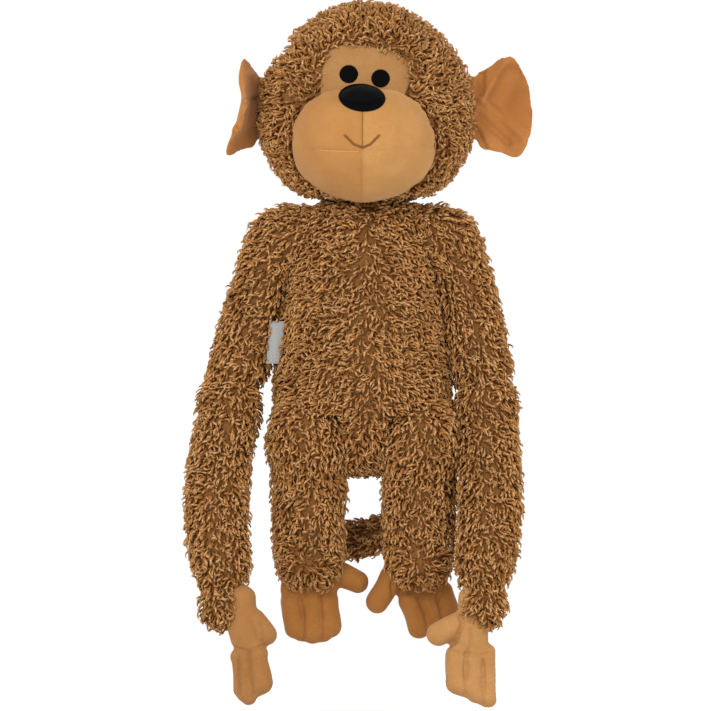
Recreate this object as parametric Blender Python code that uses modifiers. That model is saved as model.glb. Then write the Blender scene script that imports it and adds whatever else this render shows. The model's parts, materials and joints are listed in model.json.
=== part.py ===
"""Stuffed monkey with long arms, as separate sewn pieces.

The monkey faces -Y, +Z is up and +X is its own left. The origin is the centre of the flat
resting face on its back. Every length below is in millimetres; meshes are made in metres.
Covers are open shells of pile fabric or velour, and each holds its own stuffing. Limbs end in
round seats, so that they turn about their pivots without touching their neighbours.
"""
import math

import bmesh
import bpy
from mathutils import Matrix, Vector
from mathutils.bvhtree import BVHTree
from mathutils.geometry import delaunay_2d_cdt, intersect_point_line

MM = 0.001

# --- fabric and fits -------------------------------------------------------------------------
PILE_WALL = 3.0  # pile fabric with its backing
VELOUR_WALL = 1.4
FIT = 0.4  # clear space between touching pieces
THREAD = 0.8  # radius of a doubled sewing thread
BODY_SIDES = 10  # corners of a coarse cage ring, before it is subdivided
LIMB_SIDES = 6
STUFFING_INSET = 5.0  # from the seam of a flat pad to its stuffing
STUFFING_SLACK = 2.0  # between a flat pad's panel and its stuffing
FILLING_SLACK = 1.0  # between a round cover and its stuffing

# --- torso: height, half width, half depth, centre depth -----------------------------------
TORSO_X = 0.5
TORSO_SECTIONS = (
    (-101, 20, 14, -52),
    (-96, 44, 31, -54),
    (-80, 61, 45, -56),
    (-52, 70, 57, -58),
    (-16, 69, 61, -57),
    (22, 64, 59, -57),
    (56, 57, 52, -59),
    (84, 48.5, 46, -61),
    (100, 39, 37, -62),
    (110, 23, 22, -62),
    (116, 13, 13, -62),
)
NECK_MOUTH = 11.0  # radius of the opening left in the covers at the neck
BACK_FACE = (70.0, 110.0)  # widest the flat resting face may be cut, across and up
NECK_PIVOT = (2.0, -62.0, 88.0)
NECK_RING = (25.0, 111.5)  # radius and height of the thread ring at the neck

# --- head: height, half width, half depth --------------------------------------------------
HEAD_X = 3.5
HEAD_Y = -66.0
HEAD_SECTIONS = (
    (121, 44, 40),
    (127, 59, 51),
    (146, 77, 66),
    (172, 87, 74),
    (198, 86.5, 74),
    (224, 76, 66),
    (246, 59, 52),
    (262, 37, 33),
    (271, 15, 14),
)
FACE_DOME = (98.0, 77.5, 98.0)  # half axes of the smooth dome that the muzzle is sewn on
FACE_DOME_Z = 190.0
MUZZLE_OUTLINE = (
    (0, 206.5), (18, 207), (34, 204), (47, 193), (57, 178), (61, 160), (58, 142), (48, 127),
    (30, 116.5), (4, 112.5), (-22, 116), (-42, 127), (-54, 143), (-58.5, 162), (-56, 178),
    (-47, 193), (-34, 204), (-17, 206.5),
)
MUZZLE_RISE = 38.0
MUZZLE_ROUND = 50.0  # distance over which the muzzle rises from its seam
BROW_OUTLINE = (
    (-34, 207), (-33, 220), (-26, 237), (-10, 241.5), (6, 238.5), (28, 234.5), (39, 224),
    (40, 214), (33, 208), (0, 209),
)
EYE_CENTRES = {"right_eye": (-10.7, 215.9), "left_eye": (14.6, 212.4)}
EYE_RADIUS = 7.3
NOSE_CENTRE = (0.0, 196.6)
NOSE_HALF_AXES = (18.6, 10.2)
NOSE_TILT = math.radians(-5)
MOUTH_POINTS = ((-13.8, 166.9), (-7.5, 161.2), (0, 157.4), (7.2, 161.2), (13.8, 166.9))

# --- ears ------------------------------------------------------------------------------------
EAR_BASE_X = 88.0
EAR_OUTLINE = (  # distance out from the base line, and height
    (-3, 217), (6, 222), (16, 228), (26.5, 233), (32, 228), (38, 218), (44, 206), (46.8, 187),
    (45, 168), (39.5, 154), (33, 149), (25, 151.5), (12, 155), (-1, 160), (-1, 190),
)
EAR_HALF_THICKNESS = 3.0
EAR_CUP = 15.0
EAR_CLOSED = 0.35  # share of the cup's depth that a folded ear keeps
RIGHT_EAR_FOLD = ((149, 46), (172, 70), (193, 80), (212, 74), (233, 66))  # height, fold in degrees

# --- arms: x, y, z of the centre line and radius, for each side -----------------------------
ARM_Y = (-60, -61, -62, -65, -69, -79, -92, -104, -111)
ARM_LINE = {
    "right": ((-69, 87), (-80, 52), (-87.5, 24), (-98, -16), (-106, -52), (-114, -90),
              (-118, -128), (-114.5, -166), (-107, -200)),
    "left": ((72, 87), (82, 52), (88, 24), (96.5, -16), (99.5, -52), (101, -90),
             (103, -128), (100.5, -166), (93, -200)),
}
ARM_RADIUS = (20, 20.5, 21, 22, 22.5, 23, 23.5, 23, 19)
ELBOW = 4  # index of the elbow along the centre line
ELBOW_BEND = 108.0
WRIST_BELOW = 13.0  # from the end of the forearm cover down to the wrist's axis

# --- hands: outline about the wrist, thumb towards the body ----------------------------------
HAND_OUTLINE = (
    (-12, 10), (0, 11.5), (12, 9), (14, -4), (13, -18), (14.5, -32), (16.5, -46), (16, -60),
    (12, -73), (7, -77), (-3, -73), (-14, -65), (-22.5, -57), (-25, -47), (-24, -36),
    (-23.5, -28.5), (-30, -26), (-37, -22.5), (-40.5, -15), (-37, -8), (-28, -3), (-18, 2),
)
HAND_HALF_THICKNESS = 11.5
HAND_TURN = {"left": 0.0, "right": -32.0}  # about the forearm, in degrees
HAND_LEAN = {"left": 0.0, "right": -6.0}

# --- legs ------------------------------------------------------------------------------------
HIP = {"right": (-42.5, -70.0, -84.0), "left": (46.0, -70.0, -84.0)}
HIP_RADIUS = 28.0
HIP_BEND = 95.0
LEG_SECTIONS = ((-84, 28.5, -70), (-112, 28, -70), (-140, 27, -71), (-170, 27, -72))
LEG_END_Z = -172.0
ANKLE_MOUTH = 12.0
FOOT_OUTLINE = (  # about the centre of the leg's round end, big toe towards the other foot
    (-24, -12), (-23.5, -26), (-20, -45), (-13, -58), (-4, -65.5), (6, -67.3), (17, -65),
    (25, -57), (27.5, -47), (26.5, -34), (27, -28.5), (36, -28.3), (42, -28), (45, -22),
    (44.5, -16), (39.5, -6), (32, -1), (24, -12), (0, -14),
)
FOOT_HALF_THICKNESS = 10.5
FOOT_BACK = 8.0  # the foot lies this far behind the leg's centre line
FOOT_LEAN = {"right": 0.0, "left": 12.0}
FOOT_TURN = {"right": 0.0, "left": 15.0}

# --- tail ------------------------------------------------------------------------------------
TAIL_LINE = (
    (27, -9, -87, 11.5), (42, -8, -108, 13), (44, -7, -135, 13), (24, -8, -152, 13),
    (-10, -9, -159, 13), (-40, -11, -156, 12.5), (-56, -11, -142, 10),
)
TAIL_PIVOT = (27.0, -9.0, -87.0)

# --- small parts -----------------------------------------------------------------------------
LABEL_SIZE = (13.0, 0.9, 34.0)
LABEL_CENTRE = (-69.6, -80.0, 2.0)
CLOSING_SEAM = (-42.0, -74.0, 7)  # upper end, lower end, number of stitches

COLOURS = {
    "pile": (0.36, 0.19, 0.08),
    "velour": (0.60, 0.33, 0.14),
    "velour_deep": (0.46, 0.22, 0.07),
    "embroidery": (0.006, 0.006, 0.008),
    "thread": (0.30, 0.16, 0.07),
    "label": (0.80, 0.80, 0.78),
    "stuffing": (0.86, 0.85, 0.82),
}


# --- scene -------------------------------------------------------------------------------------
def clear_scene():
    for old in list(bpy.data.objects):
        bpy.data.objects.remove(old, do_unlink=True)


def new_collection(name):
    group = bpy.data.collections.new(name)
    bpy.context.scene.collection.children.link(group)
    return group


def new_material(name):
    made = bpy.data.materials.new(name)
    made.use_nodes = True
    surface = made.node_tree.nodes["Principled BSDF"]
    surface.inputs["Base Color"].default_value = (*COLOURS[name], 1.0)
    surface.inputs["Roughness"].default_value = 0.9
    surface.inputs["Metallic"].default_value = 0.0
    return made


clear_scene()
MONKEY = new_collection("stuffed_monkey")
CUTTERS = new_collection("cutters")
MATERIALS = {name: new_material(name) for name in COLOURS}


# --- meshes ------------------------------------------------------------------------------------
def mesh_from(name, points, faces):
    """A mesh in metres from points in millimetres, with its faces turned outwards."""
    made = bpy.data.meshes.new(name)
    made.from_pydata([Vector(p) * MM for p in points], [], faces)
    work = bmesh.new()
    work.from_mesh(made)
    bmesh.ops.recalc_face_normals(work, faces=work.faces)
    work.to_mesh(made)
    work.free()
    return made


def place(name, made, kind, pivot=(0, 0, 0)):
    """An object of the monkey whose origin is its pivot; its mesh is given about the world's."""
    pivot = Vector(pivot) * MM
    made.transform(Matrix.Translation(-pivot))
    piece = bpy.data.objects.new(name, made)
    piece.location = pivot
    made.materials.clear()
    made.materials.append(MATERIALS[kind])
    made.shade_smooth()
    MONKEY.objects.link(piece)
    return piece


def ring(centre, across, deep, half_across, half_deep, sides):
    turn = 2 * math.pi / sides
    return [
        Vector(centre)
        + Vector(across) * half_across * math.cos(turn * k)
        + Vector(deep) * half_deep * math.sin(turn * k)
        for k in range(sides)
    ]


def lofted(rings):
    """Points and faces of a closed cage through rings of equal size, with flat ends."""
    sides = len(rings[0])
    points = [p for one in rings for p in one]
    faces = [tuple(range(sides))]
    for row in range(len(rings) - 1):
        low, high = row * sides, (row + 1) * sides
        for k in range(sides):
            after = (k + 1) % sides
            faces.append((low + k, low + after, high + after, high + k))
    faces.append(tuple(len(points) - sides + k for k in range(sides)))
    return points, faces


def smoothed(name, rings, level=1):
    """The cage's subdivided surface as a new mesh. The cage is widened to keep its sizes."""
    sides = len(rings[0])
    widen = 1 / (0.75 + 0.25 * math.cos(2 * math.pi / sides))
    wide = []
    for one in rings:
        middle = sum(one, Vector()) / sides
        wide.append([middle + (p - middle) * widen for p in one])
    cage = bpy.data.objects.new(name + "_cage", mesh_from(name, *lofted(wide)))
    CUTTERS.objects.link(cage)
    smooth = cage.modifiers.new("smooth", "SUBSURF")
    smooth.levels = level
    smooth.render_levels = level
    graph = bpy.context.evaluated_depsgraph_get()
    skin = bpy.data.meshes.new_from_object(cage.evaluated_get(graph))
    bpy.data.objects.remove(cage, do_unlink=True)
    return skin


def opened(skin, centre, radius):
    """A copy of the skin without the faces around a point, where the cover has its mouth."""
    centre = Vector(centre) * MM
    copy = skin.copy()
    work = bmesh.new()
    work.from_mesh(copy)
    gone = [f for f in work.faces if (f.calc_center_median() - centre).length < radius * MM]
    bmesh.ops.delete(work, geom=gone, context="FACES")
    work.to_mesh(copy)
    work.free()
    return copy


def inset(skin, depth):
    """A copy of the skin moved inwards along its normals."""
    copy = skin.copy()
    for vertex, normal in zip(copy.vertices, [Vector(v.normal) for v in copy.vertices]):
        vertex.co -= normal * depth * MM
    return copy


def cover(name, skin, mouth, radius, pivot=(0, 0, 0), kind="pile", wall=PILE_WALL):
    """A fabric shell with a mouth, thickened inwards from the skin."""
    piece = place(name, opened(skin, mouth, radius), kind, pivot)
    thick = piece.modifiers.new("fabric", "SOLIDIFY")
    thick.thickness = wall * MM
    thick.offset = -1
    thick.use_even_offset = True
    return piece


def filling(name, skin, pivot=(0, 0, 0), wall=PILE_WALL):
    return place(name, inset(skin, wall + FILLING_SLACK), "stuffing", pivot)


def as_cutter(tool):
    for group in list(tool.users_collection):
        group.objects.unlink(tool)
    CUTTERS.objects.link(tool)
    tool.hide_render = True
    tool.display_type = "WIRE"
    return tool


def cut(piece, tool, operation="DIFFERENCE"):
    change = piece.modifiers.new(tool.name, "BOOLEAN")
    change.operation = operation
    change.solver = "EXACT"
    change.object = tool


def prism(name, outline, near, far, spread=0.0):
    """A cutter: a flat outline in X and Z, grown by spread and drawn out along Y."""
    middle = sum((Vector(p) for p in outline), Vector((0, 0))) / len(outline)
    grown = []
    for point in outline:
        out = Vector(point) - middle
        grown.append(Vector(point) + out.normalized() * spread)
    rings = [[Vector((p.x, y, p.y)) for p in grown] for y in (near, far)]
    tool = bpy.data.objects.new(name, mesh_from(name, *lofted(rings)))
    CUTTERS.objects.link(tool)
    return as_cutter(tool)


def ball_cutter(name, centre, radius):
    bpy.ops.mesh.primitive_uv_sphere_add(
        segments=24, ring_count=12, radius=radius * MM, location=Vector(centre) * MM
    )
    tool = bpy.context.object
    tool.name = name
    return as_cutter(tool)


def bend_cutter(name, pivot, radius, half_width, bend):
    """The space that a limb of this radius sweeps as it bends forwards about X by bend degrees."""
    far = 160.0
    bend = math.radians(bend)
    steps = 8
    side = [(radius, -far)]
    for k in range(steps + 1):
        angle = (math.pi - bend) * k / steps
        side.append((radius * math.cos(angle), radius * math.sin(angle)))
    side.append((side[-1][0] - far * math.sin(bend), side[-1][1] - far * math.cos(bend)))
    side.append((-far, -far))
    rings = [
        [Vector((pivot[0] + x, pivot[1] + y, pivot[2] + z)) for y, z in side]
        for x in (-half_width, half_width)
    ]
    tool = bpy.data.objects.new(name, mesh_from(name, *lofted(rings)))
    CUTTERS.objects.link(tool)
    return as_cutter(tool)


def thread_ring(name, centre, radius, axis, pivot):
    """A closed loop of sewing thread about an axis."""
    turn = Vector((0, 0, 1)).rotation_difference(Vector(axis)).to_matrix().to_4x4()
    bpy.ops.mesh.primitive_torus_add(
        major_segments=14, minor_segments=4, major_radius=radius * MM, minor_radius=THREAD * MM
    )
    made = bpy.context.object
    mesh = made.data
    bpy.data.objects.remove(made, do_unlink=True)
    mesh.transform(Matrix.Translation(Vector(centre) * MM) @ turn)
    return place(name, mesh, "thread", pivot)


# --- flat outlines and pads --------------------------------------------------------------------
def rounded(outline, spacing):
    """A smooth closed curve through the outline's points, as points about a spacing apart."""
    count = len(outline)
    knots = [Vector(p) for p in outline]
    dense = []
    for k in range(count):
        before, start, end, after = (knots[(k + s) % count] for s in (-1, 0, 1, 2))
        for step in range(6):
            t = step / 6
            dense.append(0.5 * (
                2 * start + (end - before) * t
                + (2 * before - 5 * start + 4 * end - after) * t * t
                + (3 * start - before - 3 * end + after) * t ** 3
            ))
    around = sum((dense[k] - dense[k - 1]).length for k in range(len(dense)))
    parts = max(8, round(around / spacing))
    kept, walked, goal = [], 0.0, 0.0
    for k, point in enumerate(dense):
        ahead = (dense[(k + 1) % len(dense)] - point).length
        while goal <= walked + ahead and len(kept) < parts:
            share = 0 if ahead == 0 else (goal - walked) / ahead
            kept.append(point.lerp(dense[(k + 1) % len(dense)], share))
            goal += around / parts
        walked += ahead
    return kept


def edge_distance(point, border):
    """The distance from a point to a closed line of points."""
    best = math.inf
    for k in range(len(border)):
        start, end = border[k - 1], border[k]
        near, share = intersect_point_line(point, start, end)
        share = min(1.0, max(0.0, share))
        best = min(best, (start.lerp(end, share) - point).length)
    return best


def inside_line(border, depth):
    """The closed line that runs inside another at a depth, without the points that cross."""
    area = sum(border[k - 1].cross(border[k]) for k in range(len(border)))
    turn = 1 if area > 0 else -1
    kept = []
    for k, point in enumerate(border):
        along = (border[(k + 1) % len(border)] - border[k - 1]).normalized()
        spot = point + Vector((-along.y, along.x)) * turn * depth
        if edge_distance(spot, border) > 0.96 * depth:
            kept.append(spot)
    return kept


class Pad:
    """A flat outline filled with triangles, each point with its distance from the rim."""

    def __init__(self, outline, spacing, depth=0.0):
        seam = rounded(outline, spacing)
        border = inside_line(seam, depth) if depth else seam
        self.rim = len(border)
        points = list(border)
        low_x = min(p.x for p in border)
        low_y = min(p.y for p in border)
        rows = int((max(p.y for p in border) - low_y) / (spacing * 0.87)) + 2
        columns = int((max(p.x for p in border) - low_x) / spacing) + 2
        for row in range(rows):
            for column in range(columns):
                shift = 0.5 * (row % 2)
                spot = Vector((low_x + (column + shift) * spacing, low_y + row * spacing * 0.87))
                if edge_distance(spot, border) > 0.62 * spacing:
                    points.append(spot)
        loop = [(k, (k + 1) % self.rim) for k in range(self.rim)]
        while True:
            made = delaunay_2d_cdt(points, loop, [], 1, 1e-6)
            chords = self.chords(made[2])
            if not chords:
                break
            points += [(points[a] + points[b]) / 2 for a, b in chords]
        self.points, self.faces = made[0], made[2]
        self.from_rim = [max(0.0, edge_distance(p, seam) - depth) for p in self.points]

    def chords(self, faces):
        """Inner edges that join two points of the rim: the two sheets would meet along them."""
        found = set()
        for face in faces:
            for k in range(3):
                a, b = sorted((face[k - 1], face[k]))
                if b < self.rim and b - a not in (1, self.rim - 1):
                    found.add((a, b))
        return found

    def heights(self, rise, over):
        """A round shoulder: how far each point stands up, from 0 at the rim to rise."""
        result = []
        for distance in self.from_rim:
            share = 1 - min(distance / over, 1.0)
            result.append(rise * math.sqrt(max(0.0, 1 - share * share)))
        return result


def between(name, pad, upper, lower):
    """The closed body between two sheets over a pad, which meet all along its rim."""
    points = [upper(k) for k in range(len(pad.points))]
    bottom = {}
    for k in range(len(pad.points)):
        if k < pad.rim:
            points[k] = (upper(k) + lower(k)) / 2
            bottom[k] = k
        else:
            bottom[k] = len(points)
            points.append(lower(k))
    both = [tuple(f) for f in pad.faces]
    both += [tuple(bottom[k] for k in reversed(f)) for f in pad.faces]
    return mesh_from(name, points, both)


def sewn_pad(names, outline, spacing, half, over, to_world, kinds, pivot, tools=()):
    """Two velour panels sewn along their edge, with stuffing between them if it is named.

    to_world takes a flat point and its height, which is positive on the first panel's side.
    """
    front, back, inside = names

    def sheet(pad, side, wall, top=half):
        rise = pad.heights(top - FIT / 2, over)

        def at(k):
            return to_world(pad.points[k], side * (FIT / 2 + max(0.0, rise[k] - wall)))
        return at

    pad = Pad(outline, spacing)
    made = []
    for name, side, kind in ((front, 1, kinds[0]), (back, -1, kinds[1])):
        mesh = between(name, pad, sheet(pad, side, 0), sheet(pad, side, VELOUR_WALL))
        made.append(place(name, mesh, kind, pivot))
    if inside:
        lined = VELOUR_WALL + STUFFING_SLACK
        core = Pad(outline, spacing, STUFFING_INSET)
        top = half - lined
        mesh = between(inside, core, sheet(core, 1, 0, top), sheet(core, -1, 0, top))
        made.append(place(inside, mesh, "stuffing", pivot))
    for piece in made:
        for tool in tools:
            cut(piece, tool)
    return made


# --- torso -------------------------------------------------------------------------------------
def build_torso():
    rings = [
        ring((TORSO_X, y, z), (1, 0, 0), (0, 1, 0), wide, deep, BODY_SIDES)
        for z, wide, deep, y in TORSO_SECTIONS
    ]
    skin = smoothed("torso", rings)
    mouth = (TORSO_X, TORSO_SECTIONS[-1][3], TORSO_SECTIONS[-1][0])
    shell = cover("torso_cover", skin, mouth, NECK_MOUTH)
    core = filling("torso_stuffing", skin)
    for side, pivot in HIP.items():
        room = HIP_RADIUS + 1.5
        tool = bend_cutter(side + "_hip_room", pivot, room, room + 0.5, HIP_BEND)
        cut(shell, tool)
        cut(core, tool)
    bpy.ops.mesh.primitive_cube_add(size=MM, location=(0, 20 * MM, 0))
    plane = as_cutter(bpy.context.object)
    plane.name = "back_plane"
    plane.scale = (BACK_FACE[0], 40, BACK_FACE[1])
    cut(shell, plane)
    return skin


def build_label():
    bpy.ops.mesh.primitive_cube_add(size=1)
    made = bpy.context.object
    mesh = made.data
    bpy.data.objects.remove(made, do_unlink=True)
    mesh.transform(Matrix.Diagonal((*(Vector(LABEL_SIZE) * MM), 1)))
    mesh.transform(Matrix.Translation(Vector(LABEL_CENTRE) * MM))
    place("side_label", mesh, "label")


def surface_point(tree, start, towards):
    """Where a straight line from a point first meets a surface, and the surface's normal."""
    hit, normal, *_ = tree.ray_cast(Vector(start) * MM, Vector(towards))
    return (None, None) if hit is None else (hit / MM, normal)


def tree_of(mesh):
    """A search tree over a mesh that is given about the world's origin."""
    mesh.calc_loop_triangles()
    corners = [v.co.copy() for v in mesh.vertices]
    return BVHTree.FromPolygons(corners, [t.vertices[:] for t in mesh.loop_triangles])


def thread_along(name, points, kind, pivot, radius=THREAD):
    """One thread laid through a list of points."""
    line = bpy.data.curves.new(name, "CURVE")
    line.dimensions = "3D"
    line.bevel_depth = radius * MM
    line.bevel_resolution = 1
    line.use_fill_caps = True
    route = line.splines.new("POLY")
    route.points.add(len(points) - 1)
    for spot, point in zip(route.points, points):
        spot.co = (*((Vector(point) - Vector(pivot)) * MM), 1)
    piece = bpy.data.objects.new(name, line)
    piece.location = Vector(pivot) * MM
    line.materials.append(MATERIALS[kind])
    MONKEY.objects.link(piece)
    return piece


def build_closing_stitch(torso_tree):
    """The ladder stitch that closes the back, below the flat resting face."""
    top, bottom, count = CLOSING_SEAM
    points = []
    for k in range(2 * count):
        height = top + (bottom - top) * k / (2 * count - 1)
        side = 3.0 if k % 2 else -3.0
        hit, normal = surface_point(torso_tree, (side, 60, height), (0, -1, 0))
        points.append(hit + normal * (THREAD + FIT + 0.4))
    thread_along("back_closing_stitch", points, "thread", (0, 0, 0))


# --- head --------------------------------------------------------------------------------------
def face_dome(point):
    """The depth of the smooth dome behind the muzzle at a flat point of the face."""
    across, deep, tall = FACE_DOME
    left = 1 - ((point[0] - HEAD_X) / across) ** 2 - ((point[1] - FACE_DOME_Z) / tall) ** 2
    return HEAD_Y - deep * math.sqrt(max(0.0, left))


def build_head():
    rings = [
        ring((HEAD_X, HEAD_Y, z), (1, 0, 0), (0, 1, 0), wide, deep, BODY_SIDES)
        for z, wide, deep in HEAD_SECTIONS
    ]
    skin = smoothed("head", rings)
    base = (HEAD_X, HEAD_Y, HEAD_SECTIONS[0][0])
    shell = cover("head_cover", skin, base, NECK_MOUTH + 6, NECK_PIVOT)
    filling("head_stuffing", skin, NECK_PIVOT)
    brow = cover("brow_panel", skin, base, NECK_MOUTH + 6, NECK_PIVOT, "velour")
    near, far = -190.0, -85.0
    cut(shell, prism("brow_opening", BROW_OUTLINE, near, far, FIT / 2))
    cut(brow, prism("brow_shape", BROW_OUTLINE, near, far, -FIT / 2), "INTERSECT")
    middle = (HEAD_X, 160.0)
    hole = [
        (middle[0] + 34 * math.cos(a), middle[1] + 26 * math.sin(a))
        for a in (2 * math.pi * k / 16 for k in range(16))
    ]
    cut(shell, prism("muzzle_opening", hole, near, far))
    return skin


def build_muzzle():
    """The muzzle is a velour pouch sewn on the face, full of stuffing."""
    def sheet(pad, wall, floor=0.0):
        rise = pad.heights(MUZZLE_RISE - floor, MUZZLE_ROUND)

        def at(k):
            flat = pad.points[k]
            return Vector((flat.x, face_dome(flat) - floor - max(0.0, rise[k] - wall), flat.y))
        return at

    pad = Pad(MUZZLE_OUTLINE, 9.0)
    outer = between("muzzle_cover", pad, sheet(pad, 0), sheet(pad, VELOUR_WALL + 0.6))
    tree = tree_of(outer)
    place("muzzle_cover", outer, "velour", NECK_PIVOT)
    lined = VELOUR_WALL + 0.6 + STUFFING_SLACK
    core = Pad(MUZZLE_OUTLINE, 9.0, 1.5 * STUFFING_INSET)
    mesh = between("muzzle_stuffing", core, sheet(core, lined, FIT), sheet(core, MUZZLE_RISE, FIT))
    place("muzzle_stuffing", mesh, "stuffing", NECK_PIVOT)
    return tree


def build_patch(name, outline, spacing, tree, thickness, lift):
    """A thin embroidered patch that follows the face behind it."""
    pad = Pad(outline, spacing)
    depth = []
    for flat in pad.points:
        hit, _ = surface_point(tree, (flat.x, -300, flat.y), (0, 1, 0))
        depth.append((hit.y if hit else face_dome(flat)) - lift)
    rise = pad.heights(thickness, 2.5)

    def outer(k):
        return Vector((pad.points[k].x, depth[k] - rise[k], pad.points[k].y))

    def inner(k):
        return Vector((pad.points[k].x, depth[k], pad.points[k].y))

    place(name, between(name, pad, outer, inner), "embroidery", NECK_PIVOT)


def oval(centre, half_axes, tilt=0.0, count=12):
    points = []
    for k in range(count):
        angle = 2 * math.pi * k / count
        x, z = half_axes[0] * math.cos(angle), half_axes[1] * math.sin(angle)
        points.append((
            centre[0] + x * math.cos(tilt) - z * math.sin(tilt),
            centre[1] + x * math.sin(tilt) + z * math.cos(tilt),
        ))
    return points


def build_face(head_tree, muzzle_tree):
    for name, centre in EYE_CENTRES.items():
        build_patch(name, oval(centre, (EYE_RADIUS, EYE_RADIUS)), 4.0, head_tree, 1.4, 0.9)
    nose = oval(NOSE_CENTRE, NOSE_HALF_AXES, NOSE_TILT)
    build_patch("nose", nose, 5.0, muzzle_tree, 2.2, 2.2)
    points = []
    for x, z in MOUTH_POINTS:
        hit, normal = surface_point(muzzle_tree, (x, -300, z), (0, 1, 0))
        points.append(hit + normal * (THREAD + FIT + 0.3))
    thread_along("mouth_stitch", points, "thread", NECK_PIVOT)


def build_ears():
    def cupped(flat, height, side, fold):
        """A flat point of the ear on its cupped form; fold turns it forwards about its base."""
        out, tall = flat.x, flat.y
        bowl = ((out - 18) / 28) ** 2 + ((tall - 190) / 42) ** 2
        deep = -EAR_CUP * (min(bowl, 1.6) - 0.45) * min(1.0, max(0.0, out / 14))
        turn = math.radians(fold)
        x = out * math.cos(turn) + (deep * EAR_CLOSED - height) * math.sin(turn)
        y = -out * math.sin(turn) + (deep - height) * math.cos(turn)
        return Vector((side * (EAR_BASE_X + x) + HEAD_X, HEAD_Y + y, tall))

    def folded(tall):
        for (low, first), (high, second) in zip(RIGHT_EAR_FOLD, RIGHT_EAR_FOLD[1:]):
            if tall <= high:
                return first + (second - first) * max(0.0, (tall - low) / (high - low))
        return RIGHT_EAR_FOLD[-1][1]

    for side, sign in (("left", 1), ("right", -1)):
        def to_world(flat, height, sign=sign):
            return cupped(flat, height, sign, folded(flat.y) if sign < 0 else 0.0)

        names = (side + "_ear_front", side + "_ear_back", None)
        pivot = (sign * EAR_BASE_X + HEAD_X, HEAD_Y, 190.0)
        kinds = ("velour_deep", "velour")
        sewn_pad(names, EAR_OUTLINE, 9.0, EAR_HALF_THICKNESS, 5.0, to_world, kinds, pivot)


# --- limbs -------------------------------------------------------------------------------------
def tube_skin(name, line, radii, start_dome, end_dome, sides=LIMB_SIDES):
    """A smooth tube along a line, with round ends where asked."""
    line = [Vector(p) for p in line]
    rings = []
    count = len(line)
    for k, centre in enumerate(line):
        along = (line[min(k + 1, count - 1)] - line[max(k - 1, 0)]).normalized()
        deep = Vector((0, 1, 0)) - along * along.y
        deep.normalize()
        across = deep.cross(along)
        if k == 0 and start_dome:
            for angle in (68, 34):
                back, share = math.sin(math.radians(angle)), math.cos(math.radians(angle))
                rings.append(ring(centre - along * radii[0] * back, across, deep,
                                  radii[0] * share, radii[0] * share, sides))
        rings.append(ring(centre, across, deep, radii[k], radii[k], sides))
        if k == count - 1 and end_dome:
            for angle in (34, 68):
                ahead, share = math.sin(math.radians(angle)), math.cos(math.radians(angle))
                rings.append(ring(centre + along * radii[k] * ahead, across, deep,
                                  radii[k] * share, radii[k] * share, sides))
    return smoothed(name, rings)


def build_arm(side):
    sign = 1 if side == "left" else -1
    line = [Vector((x, y, z)) for (x, z), y in zip(ARM_LINE[side], ARM_Y)]
    shoulder, elbow, end = line[0], line[ELBOW], line[-1]
    radius = ARM_RADIUS[ELBOW]

    past = elbow + (elbow - line[ELBOW - 1]).normalized() * radius * 0.6
    upper_line = line[:ELBOW] + [past]
    skin = tube_skin(side + "_upper", upper_line, ARM_RADIUS[: ELBOW + 1], True, False)
    shell = cover(side + "_upper_arm_cover", skin, past, radius * 0.6, shoulder)
    core = filling(side + "_upper_arm_stuffing", skin, shoulder)
    room = bend_cutter(side + "_elbow_room", elbow, radius + 1.0, radius + 14, ELBOW_BEND)
    cut(shell, room)
    cut(core, room)

    skin = tube_skin(side + "_fore", line[ELBOW:], ARM_RADIUS[ELBOW:], True, False)
    cover(side + "_forearm_cover", skin, end, ARM_RADIUS[-1] * 0.75, elbow)
    filling(side + "_forearm_stuffing", skin, elbow)

    inner = sign * 51.0 + TORSO_X
    thread_ring(side + "_shoulder_seam", (inner, shoulder.y, shoulder.z), 12.0, (1, 0, 0), shoulder)
    build_hand(side, sign, end - Vector((sign * 2.5, 1.0, WRIST_BELOW)))


def build_hand(side, sign, wrist):
    turn = Matrix.Rotation(math.radians(HAND_TURN[side]), 3, "Z")
    lean = Matrix.Rotation(math.radians(HAND_LEAN[side]), 3, "Y")

    def to_world(flat, height):
        return wrist + lean @ turn @ Vector((sign * flat.x, -height, flat.y))

    names = (side + "_hand_palm", side + "_hand_back", side + "_hand_stuffing")
    half = HAND_HALF_THICKNESS
    sewn_pad(names, HAND_OUTLINE, 8.0, half, half * 1.1, to_world, ("velour", "velour"), wrist)


def build_leg(side):
    x, y, z = HIP[side]
    pivot = Vector((x, y, z))
    line = [Vector((x, deep, height)) for height, _, deep in LEG_SECTIONS]
    skin = tube_skin(side + "_leg", line, [r for _, r, _ in LEG_SECTIONS], True, True)
    lowest = Vector((x, line[-1].y, line[-1].z - LEG_SECTIONS[-1][1]))
    cover(side + "_leg_cover", skin, lowest, ANKLE_MOUTH, pivot)
    filling(side + "_leg_stuffing", skin, pivot)
    inner = x + (-1 if x > 0 else 1) * HIP_RADIUS
    thread_ring(side + "_hip_seam", (inner, y, z), 12.0, (1, 0, 0), pivot)
    build_foot(side, Vector((x, line[-1].y, LEG_END_Z)))


def build_foot(side, ankle):
    sign = 1 if side == "right" else -1
    lean = Matrix.Rotation(math.radians(-FOOT_LEAN[side]), 3, "Y")
    turn = Matrix.Rotation(math.radians(FOOT_TURN[side]), 3, "Z")

    def to_world(flat, height):
        return ankle + turn @ lean @ Vector((sign * flat.x, FOOT_BACK - height, flat.y))

    seat = ball_cutter(side + "_ankle_seat", ankle, LEG_SECTIONS[-1][1] + 1.2)
    names = (side + "_foot_top", side + "_foot_sole", side + "_foot_stuffing")
    half = FOOT_HALF_THICKNESS
    kinds = ("velour_deep", "velour_deep")
    sewn_pad(names, FOOT_OUTLINE, 8.5, half, half * 1.1, to_world, kinds, ankle, (seat,))


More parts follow.
